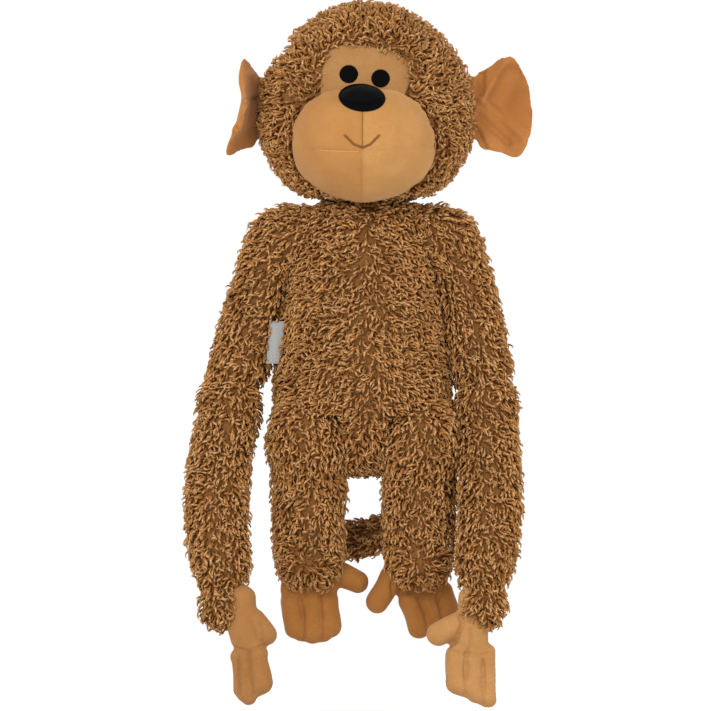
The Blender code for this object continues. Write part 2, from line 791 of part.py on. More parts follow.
def build_tail():
    line = [Vector(p[:3]) for p in TAIL_LINE]
    rings = []
    for k, centre in enumerate(line):
        along = (line[min(k + 1, len(line) - 1)] - line[max(k - 1, 0)]).normalized()
        deep = (Vector((0, 1, 0)) - along * along.y).normalized()
        radius = TAIL_LINE[k][3]
        if k == 0:
            rings.append(ring(centre - along * 8, deep.cross(along), deep, 7, 7, LIMB_SIDES))
        rings.append(ring(centre, deep.cross(along), deep, radius, radius, LIMB_SIDES))
    skin = smoothed("tail", rings)
    cover("tail_cover", skin, line[0] + (line[0] - line[1]).normalized() * 8, 6.0, TAIL_PIVOT)
    filling("tail_stuffing", skin, TAIL_PIVOT)


def build_monkey():
    torso_skin = build_torso()
    build_label()
    build_closing_stitch(tree_of(torso_skin))
    thread_ring("neck_seam", (*NECK_PIVOT[:2], NECK_RING[1]), NECK_RING[0], (0, 0, 1), NECK_PIVOT)
    head_skin = build_head()
    muzzle_tree = build_muzzle()
    build_face(tree_of(head_skin), muzzle_tree)
    build_ears()
    for side in ("left", "right"):
        build_arm(side)
        build_leg(side)
    build_tail()


build_monkey()
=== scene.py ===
"""The visual model of a long-limbed stuffed monkey: locks of curly pile over smooth skins, velour face,
ears, hands and feet, and embroidered features. Lengths are in metres; MM turns millimetres into metres."""

import json
import math

import bmesh
import bpy
import numpy as np
from mathutils import Matrix, Vector
from mathutils.bvhtree import BVHTree

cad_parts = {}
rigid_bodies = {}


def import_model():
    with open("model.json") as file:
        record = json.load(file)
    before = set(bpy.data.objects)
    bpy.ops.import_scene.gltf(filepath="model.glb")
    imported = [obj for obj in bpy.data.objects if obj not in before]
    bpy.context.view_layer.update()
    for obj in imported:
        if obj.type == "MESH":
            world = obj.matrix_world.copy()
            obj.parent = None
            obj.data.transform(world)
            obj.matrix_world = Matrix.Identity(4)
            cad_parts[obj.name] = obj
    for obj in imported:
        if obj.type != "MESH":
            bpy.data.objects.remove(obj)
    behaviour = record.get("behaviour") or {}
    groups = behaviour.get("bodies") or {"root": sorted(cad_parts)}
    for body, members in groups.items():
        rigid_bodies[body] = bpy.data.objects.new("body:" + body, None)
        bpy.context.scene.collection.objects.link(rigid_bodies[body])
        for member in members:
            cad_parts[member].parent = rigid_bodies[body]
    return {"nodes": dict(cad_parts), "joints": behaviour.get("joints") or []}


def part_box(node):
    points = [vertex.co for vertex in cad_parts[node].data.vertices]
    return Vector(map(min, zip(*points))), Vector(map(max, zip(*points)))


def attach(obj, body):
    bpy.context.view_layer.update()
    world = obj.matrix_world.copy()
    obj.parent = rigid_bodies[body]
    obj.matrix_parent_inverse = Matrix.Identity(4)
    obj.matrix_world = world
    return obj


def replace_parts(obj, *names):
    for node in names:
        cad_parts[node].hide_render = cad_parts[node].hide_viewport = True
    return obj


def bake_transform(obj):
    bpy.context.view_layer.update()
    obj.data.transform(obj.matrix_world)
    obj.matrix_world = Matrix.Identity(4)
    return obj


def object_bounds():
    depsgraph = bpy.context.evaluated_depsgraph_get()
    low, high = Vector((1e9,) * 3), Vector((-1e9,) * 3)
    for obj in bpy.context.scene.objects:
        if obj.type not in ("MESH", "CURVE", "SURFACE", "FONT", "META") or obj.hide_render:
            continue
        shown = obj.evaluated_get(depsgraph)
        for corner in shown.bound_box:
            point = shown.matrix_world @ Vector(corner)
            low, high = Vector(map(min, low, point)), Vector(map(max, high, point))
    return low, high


for extra in list(bpy.data.objects):
    bpy.data.objects.remove(extra)

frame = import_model()
NODES = frame["nodes"]
JOINTS = {j["name"]: j for j in frame["joints"]}
CAD_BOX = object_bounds()

MM = 0.001
SWELL = 1.1 * MM
SIDES = ("left", "right")

# Locks of pile
LOCK_SPACING = 2.75 * MM
LOCK_LENGTH = 8.0 * MM
LOCK_WIDTH = 1.35 * MM
LOCK_LIFT = 0.52
LOCK_CURL = 0.17
LOCK_RINGS = 5
LOCK_CORNERS = 3
LOCKS_PER_PIECE = 6800

# Skins: voxel sizes, and how far pieces reach past their CAD nodes
VELOUR_VOXEL = 1.0 * MM
MUZZLE_VOXEL = 1.5 * MM
PILE_VOXEL = 3.0 * MM
MUZZLE_FILL = 34 * MM
BROW_EDGE = 14 * MM
BROW_DROP = 15 * MM
BROW_FORWARD = 13 * MM
TAIL_TURN_Z = -0.135

# Embroidery: the face seam's x, and the pitch, thread radius, crown and dip of satin
SEAM_X = 0.4
EYE_SATIN = (0.62 * MM, 0.42 * MM, 0.9 * MM, 3 * MM)
NOSE_SATIN = (0.66 * MM, 0.5 * MM, 2.4 * MM, 11 * MM)
NOSE_TILT = math.radians(-5)

# Floor: half its width, and its gap below the toy
FLOOR_HALF = 1.6
FLOOR_GAP = 6 * MM

# Colours, linear
# The pile's root colour is partly dye and partly painted shade for the depth between the locks
ROOT_DYE_AND_SHADE = (0.125, 0.036, 0.004)
BACKING_BROWN = (0.190, 0.080, 0.021)
MIDS = ((0.325, 0.135, 0.034), (0.395, 0.172, 0.048), (0.265, 0.106, 0.024))
TIPS = ((0.445, 0.228, 0.082), (0.520, 0.288, 0.114), (0.375, 0.184, 0.060))
FACE_TAN = ((0.415, 0.196, 0.058), (0.480, 0.248, 0.084))
# The face tan darkened: painted shade over the muzzle's half below the seam's x
FACE_PAINTED_SHADE = ((0.355, 0.154, 0.040), (0.415, 0.194, 0.057))
# The brow's velour is the face tan darkened: painted shade to offset the light falling on its upturned face
BROW_TAN_PAINTED_SHADE = ((0.326, 0.154, 0.049), (0.377, 0.195, 0.071))
# Hand velour; the right hand's darker shades are painted shade on the same velour as the left's
HAND_TAN_RIGHT_SHADED = {"left": ((0.400, 0.195, 0.064), (0.470, 0.248, 0.092)),
            "right": ((0.312, 0.137, 0.041), (0.367, 0.174, 0.059))}
# The foot velour is darkened by painted shade, for the shadow the leg fur casts on the feet
SOLE_TAN_PAINTED_SHADE = ((0.285, 0.108, 0.024), (0.355, 0.148, 0.038))
# The ear velour: its own orange tan, darkened by painted shade for the hollow of the cup
BOWL_TAN_AND_SHADE = ((0.370, 0.142, 0.036), (0.440, 0.185, 0.054))
INK = (0.0022, 0.0020, 0.0024)
BROWN_THREAD = (0.235, 0.105, 0.030)
PALE_THREAD = (0.760, 0.560, 0.330)
WHITE_TAPE = ((0.270, 0.270, 0.262), (0.350, 0.350, 0.338))


# ---------------------------------------------------------------- materials
def node(tree, kind, **inputs):
    """A new shader node, with its named inputs set."""
    made = tree.nodes.new(kind)
    for name, value in inputs.items():
        made.inputs[name.replace("_", " ")].default_value = value
    return made


def new_material(name, roughness, sheen, specular=0.2):
    """A Principled material and its tree, shader and object coordinates."""
    made = bpy.data.materials.new(name)
    made.use_nodes = True
    tree = made.node_tree
    shader = tree.nodes["Principled BSDF"]
    shader.inputs["Roughness"].default_value = roughness
    shader.inputs["Specular IOR Level"].default_value = specular
    shader.inputs["Sheen Weight"].default_value = sheen
    shader.inputs["Sheen Roughness"].default_value = 0.5
    shader.inputs["Sheen Tint"].default_value = (1.0, 0.80, 0.55, 1)
    place = tree.nodes.new("ShaderNodeTexCoord").outputs["Object"]
    return made, tree, shader, place


def add_bump(tree, shader, height, strength, distance):
    """Bump from a height output."""
    bump = node(tree, "ShaderNodeBump", Strength=strength, Distance=distance)
    tree.links.new(height, bump.inputs["Height"])
    tree.links.new(bump.outputs["Normal"], shader.inputs["Normal"])


def noise(tree, place, scale, detail=2.0, roughness=0.5):
    made = node(tree, "ShaderNodeTexNoise", Scale=scale, Detail=detail, Roughness=roughness)
    tree.links.new(place, made.inputs["Vector"])
    return made.outputs["Fac"]


def ranged(tree, value, low, high, new_low=0.0, new_high=1.0):
    made = tree.nodes.new("ShaderNodeMapRange")
    for socket, number in zip(made.inputs[1:5], (low, high, new_low, new_high)):
        socket.default_value = number
    tree.links.new(value, made.inputs[0])
    return made.outputs[0]


def mixed(tree, factor, first, second):
    """A colour mix; first and second are colours or outputs."""
    made = tree.nodes.new("ShaderNodeMix")
    made.data_type = "RGBA"
    tree.links.new(factor, made.inputs[0])
    for socket, value in ((made.inputs[6], first), (made.inputs[7], second)):
        if isinstance(value, tuple):
            socket.default_value = (*value, 1)
        else:
            tree.links.new(value, socket)
    return made.outputs[2]


def pile_material(name, colour):
    """Pile fibre: a plain colour, with the strands in its bump and its gloss; at the root, dye and painted
    depth shade.
    """
    made, tree, shader, place = new_material(name, 0.75, 0.08, 0.08)
    shader.inputs["Base Color"].default_value = (*colour, 1)
    strands = noise(tree, place, 1500, 3)
    add_bump(tree, shader, strands, 0.5, 0.3 * MM)
    tree.links.new(ranged(tree, strands, 0.3, 0.7, 0.6, 0.9), shader.inputs["Roughness"])
    return made


def velour_material(name, shades, painted_shade=None):
    """Short velour: brushed patches over a fine nap. The optional last argument is (x, darker shades):
    painted shade on the side below x.
    """
    made, tree, shader, place = new_material(name, 0.85, 0.18, 0.08)
    patches = ranged(tree, noise(tree, place, 38, 3, 0.6), 0.35, 0.65)
    colour = mixed(tree, patches, *shades)
    # painted shade: the darker shades on the side below x
    if painted_shade:
        x = tree.nodes.new("ShaderNodeSeparateXYZ")
        tree.links.new(place, x.inputs[0])
        shaded_side = ranged(tree, x.outputs["X"], painted_shade[0] - 0.4 * MM, painted_shade[0] + 0.4 * MM)
        colour = mixed(tree, shaded_side, mixed(tree, patches, *painted_shade[1]), colour)
    nap = noise(tree, place, 1300, 4, 0.7)
    speckled = mixed(tree, ranged(tree, nap, 0.30, 0.62), tuple(0.80 * c for c in shades[0]), colour)
    tree.links.new(speckled, shader.inputs["Base Color"])
    tree.links.new(ranged(tree, nap, 0.3, 0.7, 0.75, 0.95), shader.inputs["Roughness"])
    add_bump(tree, shader, nap, 0.45, 0.35 * MM)
    return made


def thread_material(name, colour, gloss=0.55):
    """Twisted embroidery thread."""
    made, tree, shader, place = new_material(name, gloss, 0.0, 0.04)
    ply = tree.nodes.new("ShaderNodeTexWave")
    ply.bands_direction = "DIAGONAL"
    ply.inputs["Scale"].default_value = 1400
    ply.inputs["Distortion"].default_value = 1.5
    tree.links.new(place, ply.inputs["Vector"])
    tree.links.new(mixed(tree, ply.outputs["Fac"], tuple(0.6 * c for c in colour), colour),
                   shader.inputs["Base Color"])
    add_bump(tree, shader, ply.outputs["Fac"], 0.4, 0.15 * MM)
    return made


def tape_material(name, shades):
    """Plain woven tape with a fine rib."""
    made, tree, shader, place = new_material(name, 0.6, 0.1, 0.3)
    rib = tree.nodes.new("ShaderNodeTexWave")
    rib.bands_direction = "Z"
    rib.inputs["Scale"].default_value = 520
    tree.links.new(place, rib.inputs["Vector"])
    tree.links.new(mixed(tree, rib.outputs["Fac"], *shades), shader.inputs["Base Color"])
    add_bump(tree, shader, rib.outputs["Fac"], 0.5, 0.1 * MM)
    return made


def floor_material():
    """Matt, nearly white."""
    made, tree, shader, place = new_material("pale_floor", 0.9, 0.0, 0.1)
    tree.links.new(mixed(tree, noise(tree, place, 3), (0.90, 0.90, 0.90), (0.93, 0.93, 0.93)),
                   shader.inputs["Base Color"])
    return made


# the root material holds painted depth shade as well as dye
PILE = [pile_material("pile_root_dye_and_shade", ROOT_DYE_AND_SHADE)]
PILE += [pile_material(f"pile_mid_{i}", c) for i, c in enumerate(MIDS)]
PILE += [pile_material(f"pile_tip_{i}", c) for i, c in enumerate(TIPS)]
BACKING = pile_material("pile_backing", BACKING_BROWN)
INK_THREAD = thread_material("ink_thread", INK)
BROWN = thread_material("brown_thread", BROWN_THREAD, 0.7)
PALE = thread_material("pale_thread", PALE_THREAD, 0.7)


# ---------------------------------------------------------------- meshes
def mesh_object(name, points, faces, materials, slots=None):
    """An object from arrays of points and equal-sized faces, shaded smooth."""
    mesh = bpy.data.meshes.new(name)
    faces = np.asarray(faces, np.int32)
    points = np.asarray(points, np.float32)
    mesh.vertices.add(len(points))
    mesh.vertices.foreach_set("co", points.ravel())
    mesh.loops.add(faces.size)
    mesh.loops.foreach_set("vertex_index", faces.ravel())
    mesh.polygons.add(len(faces))
    mesh.polygons.foreach_set("loop_start", np.arange(0, faces.size, faces.shape[1], dtype=np.int32))
    mesh.polygons.foreach_set("use_smooth", np.ones(len(faces), bool))
    for material in materials:
        mesh.materials.append(material)
    if slots is not None:
        mesh.polygons.foreach_set("material_index", np.asarray(slots, np.int32))
    mesh.update(calc_edges=True)
    mesh.validate()
    made = bpy.data.objects.new(name, mesh)
    bpy.context.scene.collection.objects.link(made)
    return made


def largest_island(bm):
    """Deletes all but the largest connected shell, the outer one."""
    left, shells = set(bm.verts), []
    while left:
        todo, shell = [left.pop()], []
        while todo:
            vert = todo.pop()
            shell.append(vert)
            for edge in vert.link_edges:
                other = edge.other_vert(vert)
                if other in left:
                    left.discard(other)
                    todo.append(other)
        shells.append(shell)
    shells.sort(key=len)
    bmesh.ops.delete(bm, geom=[v for shell in shells[:-1] for v in shell], context="VERTS")


def skin(name, names, voxel, rounds, material, lobes=(), level=1):
    """One closed, smooth skin around the named CAD nodes, which it stands for. Lobes (centre, half axes)
    fill it out where it tucks into its neighbour, or make all of it where level is None."""
    bm = bmesh.new()
    for one in names if level is not None else ():
        bm.from_mesh(NODES[one].data)
    bmesh.ops.remove_doubles(bm, verts=bm.verts, dist=0.01 * MM)
    for centre, half in lobes:
        place = Matrix.Translation(centre) @ Matrix.Diagonal((*half, 1))
        bmesh.ops.create_icosphere(bm, subdivisions=3, radius=1, matrix=place)
    mesh = bpy.data.meshes.new(name)
    bm.to_mesh(mesh)
    bm.free()
    made = bpy.data.objects.new(name, mesh)
    bpy.context.scene.collection.objects.link(made)
    if level:
        rounder = made.modifiers.new("round", "SUBSURF")
        rounder.levels = rounder.render_levels = level
    swell = made.modifiers.new("swell", "DISPLACE")
    swell.mid_level = 0
    swell.strength = SWELL
    wrap = made.modifiers.new("wrap", "REMESH")
    wrap.mode = "VOXEL"
    wrap.voxel_size = voxel
    soften = made.modifiers.new("soften", "SMOOTH")
    soften.factor = 0.5
    soften.iterations = rounds
    apply_all(made)
    bm = bmesh.new()
    bm.from_mesh(made.data)
    largest_island(bm)
    bmesh.ops.recalc_face_normals(bm, faces=bm.faces)
    bm.to_mesh(made.data)
    bm.free()
    set_coords(made, coords(made.data) - coords(made.data, "normal") * SWELL)
    made.data.materials.clear()
    made.data.materials.append(material)
    made.data.polygons.foreach_set("use_smooth", np.ones(len(made.data.polygons), bool))
    made.data.polygons.foreach_set("material_index", np.zeros(len(made.data.polygons), np.int32))
    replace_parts(made, *names)
    return made


def apply_all(obj):
    """Replaces the mesh with what its modifiers make of it."""
    bpy.context.view_layer.update()
    shown = obj.evaluated_get(bpy.context.evaluated_depsgraph_get())
    mesh = bpy.data.meshes.new_from_object(shown)
    obj.modifiers.clear()
    obj.data = mesh


def refine(obj, level=1):
    """Subdivides the mesh once it has its shape."""
    rounder = obj.modifiers.new("fine", "SUBSURF")
    rounder.levels = rounder.render_levels = level
    apply_all(obj)


def coords(mesh, what="co"):
    made = np.empty(len(mesh.vertices) * 3, np.float32)
    (mesh.vertices if what == "co" else mesh.vertex_normals).foreach_get(
        "co" if what == "co" else "vector", made)
    return made.reshape(-1, 3).astype(float)


def set_coords(obj, points):
    obj.data.vertices.foreach_set("co", np.asarray(points, np.float32).ravel())
    obj.data.update()


def tree_of(obj):
    """A search tree of the object's mesh."""
    bm = bmesh.new()
    bm.from_mesh(obj.data)
    made = BVHTree.FromBMesh(bm)
    bm.free()
    return made


def unit(vectors):
    return vectors / np.maximum(np.linalg.norm(vectors, axis=-1, keepdims=True), 1e-12)


def ripple(points, size, seed):
    """Smooth noise in three channels, about -1 to 1, with features of the given size."""
    waves = np.random.default_rng(seed)
    total = np.zeros_like(points)
    for _ in range(7):
        ways = unit(waves.normal(size=(3, 3))) * (2 * math.pi / size) * waves.uniform(0.6, 1.4)
        total += np.sin(points @ ways.T + waves.uniform(0, 2 * math.pi, 3))
    return total / 2.6


def rumple(obj, size, amount, seed):
    """Uneven filling: pushes the surface in and out along its normals."""
    co, no = coords(obj.data), coords(obj.data, "normal")
    set_coords(obj, co + no * ripple(co, size, seed)[:, :1] * amount)


def line_distance(xz, line):
    """Each point's distance from a line of (x, z) points."""
    best = np.full(len(xz), 1e9)
    for a, b in zip(line[:-1], line[1:]):
        a, b = np.array(a), np.array(b)
        t = np.clip((xz - a) @ (b - a) / max((b - a) @ (b - a), 1e-12), 0, 1)
        best = np.minimum(best, np.linalg.norm(xz - a - t[:, None] * (b - a), axis=1))
    return best


def carve(obj, line, depth, width, front=True):
    """A sewn groove along a line of (x, z) points in mm on the front or the back; below zero, a ridge."""
    co, no = coords(obj.data), coords(obj.data, "normal")
    away = line_distance(co[:, [0, 2]] / MM, line)
    facing = np.clip((-no[:, 1] if front else no[:, 1]) * 1.6, 0, 1)
    push = np.exp(-((away / width) ** 2)) * facing * depth * MM
    set_coords(obj, co - no * push[:, None])


def about(joint, line):
    """A line given about a joint, in mm, as (x, z) points in mm."""
    x, _, z = (v / MM for v in JOINTS[joint]["pos_m"])
    return [(x + a, z + b) for a, b in line]


# ---------------------------------------------------------------- pile
def scatter(obj, spacing, seed):
    """Points spread over a mesh about a spacing apart, with their normals."""
    mesh = obj.data
    mesh.calc_loop_triangles()
    corners = np.empty(len(mesh.loop_triangles) * 3, np.int32)
    mesh.loop_triangles.foreach_get("vertices", corners)
    corners = corners.reshape(-1, 3)
    co, no = coords(mesh), coords(mesh, "normal")
    a, b, c = (co[corners[:, k]] for k in range(3))
    area = np.linalg.norm(np.cross(b - a, c - a), axis=1) / 2
    draw = np.random.default_rng(seed)
    count = int(area.sum() / spacing**2 * 6)
    picked = draw.choice(len(area), count, p=area / area.sum())
    u, v = draw.random(count), draw.random(count)
    flip = u + v > 1
    u[flip], v[flip] = 1 - u[flip], 1 - v[flip]
    shares = np.stack([1 - u - v, u, v], 1)[:, :, None]
    points = (co[corners[picked]] * shares).sum(1)
    normals = unit((no[corners[picked]] * shares).sum(1))
    cells = np.floor(points / (spacing * 1.22)).astype(np.int64)
    _, first = np.unique(cells @ np.array([1, 4099, 4099 * 4099]), return_index=True)
    return points[first], normals[first]


def clear_of(points, trees, gap):
    """True for the points that stand more than a gap outside every one of the closed meshes; below zero,
    points up to that far inside are true too."""
    free = np.ones(len(points), bool)
    for tree in trees:
        for i in np.flatnonzero(free):
            near, normal, _, far = tree.find_nearest(points[i], 0.04)
            if near is not None:
                free[i] = math.copysign(far, (Vector(points[i]) - near).dot(normal)) > gap
    return free


def lock_arrays(points, normals, flow, length, seed):
    """Curled, tapered locks: their points, triangles and material slots."""
    draw = np.random.default_rng(seed)
    count = len(points)
    flow = unit(flow - (flow * normals).sum(1, keepdims=True) * normals)
    side = np.cross(normals, flow)
    turn = (draw.normal(0, 0.48, count) + 0.5 * ripple(points, 9 * MM, seed + 1)[:, 0])[:, None]
    flow, side = np.cos(turn) * flow + np.sin(turn) * side, np.cos(turn) * side - np.sin(turn) * flow
    long = (length * draw.uniform(0.72, 1.25, count))[:, None]
    lift = (LOCK_LIFT * draw.uniform(0.75, 1.25, count))[:, None]
    phase = draw.uniform(0, 2 * math.pi, count)[:, None]
    bow = draw.uniform(0.6, 1.4, count)[:, None] * LOCK_CURL
    wide = (LOCK_WIDTH * draw.uniform(0.75, 1.3, count))[:, None]

    def centre(t):
        ahead = flow * long * (0.95 * t**1.15)
        up = normals * long * lift * math.sin(math.pi * 0.62 * t) * 1.25
        curl = side * long * bow * (np.sin(math.pi * 1.7 * t + phase) - np.sin(phase)) * t**0.5
        return points - normals * 0.6 * MM + ahead + up + curl

    rings = []
    steps = np.linspace(0, 1, LOCK_RINGS + 1)
    for t in steps[:-1]:
        along = unit(centre(t + 0.05) - centre(t - 0.05 if t else 0.0))
        across = unit(np.cross(along, normals + 0.01 * side))
        over = np.cross(across, along)
        thick = wide * (0.62 + 1.15 * t - 1.45 * t * t)
        for k in range(LOCK_CORNERS):
            angle = 2 * math.pi * k / LOCK_CORNERS + math.pi / 2
            rings.append(centre(t) + thick * (across * math.cos(angle) + 0.8 * over * math.sin(angle)))
    rings.append(centre(1.0))
    verts = np.stack(rings, 1)
    faces, slots = [(2, 1, 0)], [0]
    for ring in range(LOCK_RINGS - 1):
        # slot 0 is the dark root colour, partly painted depth shade
        kind = (0, 1, 1, 2)[ring]
        for k in range(LOCK_CORNERS):
            a, b = ring * LOCK_CORNERS + k, ring * LOCK_CORNERS + (k + 1) % LOCK_CORNERS
            faces += [(a, b, b + LOCK_CORNERS), (a, b + LOCK_CORNERS, a + LOCK_CORNERS)]
            slots += [kind, kind]
    last, tip = (LOCK_RINGS - 1) * LOCK_CORNERS, LOCK_RINGS * LOCK_CORNERS
    for k in range(LOCK_CORNERS):
        faces.append((last + k, last + (k + 1) % LOCK_CORNERS, tip))
        slots.append(2)
    shade = (draw.random(count) + 0.45 * ripple(points, 30 * MM, seed + 2)[:, 1]).clip(0, 0.999)
    shade = (shade * 3).astype(int)
    all_faces = (np.array(faces)[None] + (np.arange(count) * (tip + 1))[:, None, None]).reshape(-1, 3)
    kinds = np.array(slots)[None].repeat(count, 0)
    all_slots = np.where(kinds == 0, 0, 1 + 3 * (kinds - 1) + shade[:, None]).ravel()
    return verts.reshape(-1, 3), all_faces, all_slots


def fur(name, base, flow, seed, length=LOCK_LENGTH, spacing=LOCK_SPACING, avoid=(), gap=1.0 * MM,
        keep=None):
    """Pile over a skin, as pieces of locks that lie along flow(points)."""
    points, normals = scatter(base, spacing, seed)
    free = clear_of(points, avoid, gap)
    if keep is not None:
        free &= keep(points, normals)
    points, normals = points[free], normals[free]
    order = np.argsort(points[:, 1] + 0.2 * points[:, 2], kind="stable")
    pieces = max(1, math.ceil(len(points) / LOCKS_PER_PIECE))
    made = []
    for i, part in enumerate(np.array_split(order, pieces)):
        ways = flow(points[part], normals[part]) + 0.3 * ripple(points[part], 45 * MM, seed + 3)
        arrays = lock_arrays(points[part], normals[part], ways, length, seed + 10 * i)
        made.append(mesh_object(f"{name}_{i + 1}", *arrays[:2], PILE, arrays[2]))
    return made


# ---------------------------------------------------------------- embroidery
def onto(trees, x, z):
    """The front surface's point and normal at (x, z), on whichever of the meshes comes first."""
    hits = [tree.ray_cast(Vector((x, -0.5, z)), Vector((0, 1, 0)))[:2] for tree in trees]
    point, normal = min((hit for hit in hits if hit[0] is not None), key=lambda hit: hit[0].y)
    return np.array(point), np.array(normal if normal.y < 0 else -normal)


def tubes(name, runs, radius, material, sides=6):
    """Closed threads along runs of points, thinned at both ends."""
    verts, faces = [], []
    for run in runs:
        run = np.asarray(run, float)
        ways = unit(np.gradient(run, axis=0))
        first = len(verts)
        for i, (point, way) in enumerate(zip(run, ways)):
            a = unit(np.cross(way, (0.31, 0.2, 0.93)))
            b = np.cross(way, a)
            thin = radius * (0.45 if i in (0, len(run) - 1) else 1.0)
            for k in range(sides):
                angle = 2 * math.pi * k / sides
                verts.append(point + thin * (a * math.cos(angle) + b * math.sin(angle)))
        for i in range(len(run) - 1):
            for k in range(sides):
                p, q = first + i * sides + k, first + i * sides + (k + 1) % sides
                faces += [(p, q, q + sides), (p, q + sides, p + sides)]
        for ring, flip in ((first, True), (first + (len(run) - 1) * sides, False)):
            for k in range(1, sides - 1):
                cap = (ring, ring + k, ring + k + 1)
                faces.append(cap[::-1] if flip else cap)
    return mesh_object(name, np.array(verts), np.array(faces), [material])


def satin(name, tree, centre, half, tilt, pitch, radius, crown, dip):
    """A satin-stitched oval: threads side by side on the surface, raised in the middle, and no further
    back than a dip behind its centre."""
    runs, furthest = [], onto(tree, *centre)[0][1] + dip
    rows = int(2 * half[0] / pitch)
    for i in range(rows + 1):
        u = -half[0] + 2 * half[0] * (i + 0.5) / (rows + 1)
        reach = half[1] * math.sqrt(max(0, 1 - (u / half[0]) ** 2))
        run = []
        for v in np.linspace(-reach, reach, max(4, int(2 * reach / (1.1 * MM)) + 1)):
            x = centre[0] + u * math.cos(tilt) - v * math.sin(tilt)
            z = centre[1] + u * math.sin(tilt) + v * math.cos(tilt)
            point, normal = onto(tree, x, z)
            point[1] = min(point[1], furthest)
            high = math.sqrt(max(0, 1 - (u / half[0]) ** 2 - (v / half[1]) ** 2))
            run.append(point + normal * (radius * 0.3 + crown * high))
        runs.append(run)
    return tubes(name, runs, radius, INK_THREAD)


def stitch_row(name, tree, line, pitch, length, lift, radius, material, slant=0.0):
    """Short stitches along a line of (x, z) points in metres, lying on the surface."""
    line = np.array(line)
    steps = np.r_[0, np.cumsum(np.linalg.norm(np.diff(line, axis=0), axis=1))]
    runs = []
    for s in np.arange(pitch / 2, steps[-1], pitch):
        way = []
        for d in np.linspace(-length / 2, length / 2, 4):
            at = np.array([np.interp(s + d * math.cos(slant), steps, line[:, k]) for k in (0, 1)])
            nearby = np.array([np.interp(s + 0.5 * MM, steps, line[:, k]) for k in (0, 1)]) - np.array(
                [np.interp(s - 0.5 * MM, steps, line[:, k]) for k in (0, 1)])
            across = unit(np.array([-nearby[1], nearby[0]]))
            at = at + across * d * math.sin(slant)
            point, normal = onto(tree, *at)
            way.append(point + normal * lift * math.cos(math.pi * d / length))
        runs.append(way)
    return tubes(name, runs, radius, material)


# ---------------------------------------------------------------- parts of the monkey
def centre_of(node_name):
    low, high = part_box(node_name)
    return (np.array(low) + np.array(high)) / 2


def build_muzzle():
    """The round muzzle, with its centre seam and the darts at the mouth."""
    # painted shade on the muzzle's half below the seam's x
    velour_with_painted_shade = velour_material("velour_face_and_shade", FACE_TAN, (SEAM_X * MM, FACE_PAINTED_SHADE))
    low, high = (np.array(v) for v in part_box("muzzle_cover"))
    back = ((low[0] + high[0]) / 2, high[1], (low[2] + high[2]) / 2)
    half = ((high[0] - low[0]) / 2 - 0.6 * MM, MUZZLE_FILL, (high[2] - low[2]) / 2 - 0.6 * MM)
    made = skin("muzzle", ("muzzle_cover", "muzzle_stuffing"), MUZZLE_VOXEL, 20, velour_with_painted_shade, [(back, half)])
    refine(made)
    rumple(made, 34 * MM, 0.5 * MM, 21)
    low = low / MM
    mouth = centre_of("mouth_stitch")[2] / MM
    carve(made, [(SEAM_X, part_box("nose")[0][2] / MM), (SEAM_X, low[2])], 1.1, 1.5)
    carve(made, [(-42, mouth - 6.6), (-1, mouth - 8.2)], 0.7, 1.8)
    carve(made, [(2, mouth - 8.2), (42, mouth - 6.6)], 0.35, 1.8)
    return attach(made, "head")


def build_brow():
    """The brow panel above the nose."""
    # painted shade: the brow velour is darker than the face's
    velour_with_painted_shade = velour_material("velour_brow_painted_shade", BROW_TAN_PAINTED_SHADE)
    made = skin("brow", ("brow_panel",), VELOUR_VOXEL, 6, velour_with_painted_shade)
    co, bottom = coords(made.data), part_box("brow_panel")[0][2]
    reach = np.clip((bottom + BROW_EDGE - co[:, 2]) / BROW_EDGE, 0, 1) ** 1.6
    co[:, 2] -= reach * BROW_DROP
    co[:, 1] -= reach * BROW_FORWARD
    set_coords(made, co)
    refine(made)
    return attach(made, "head")


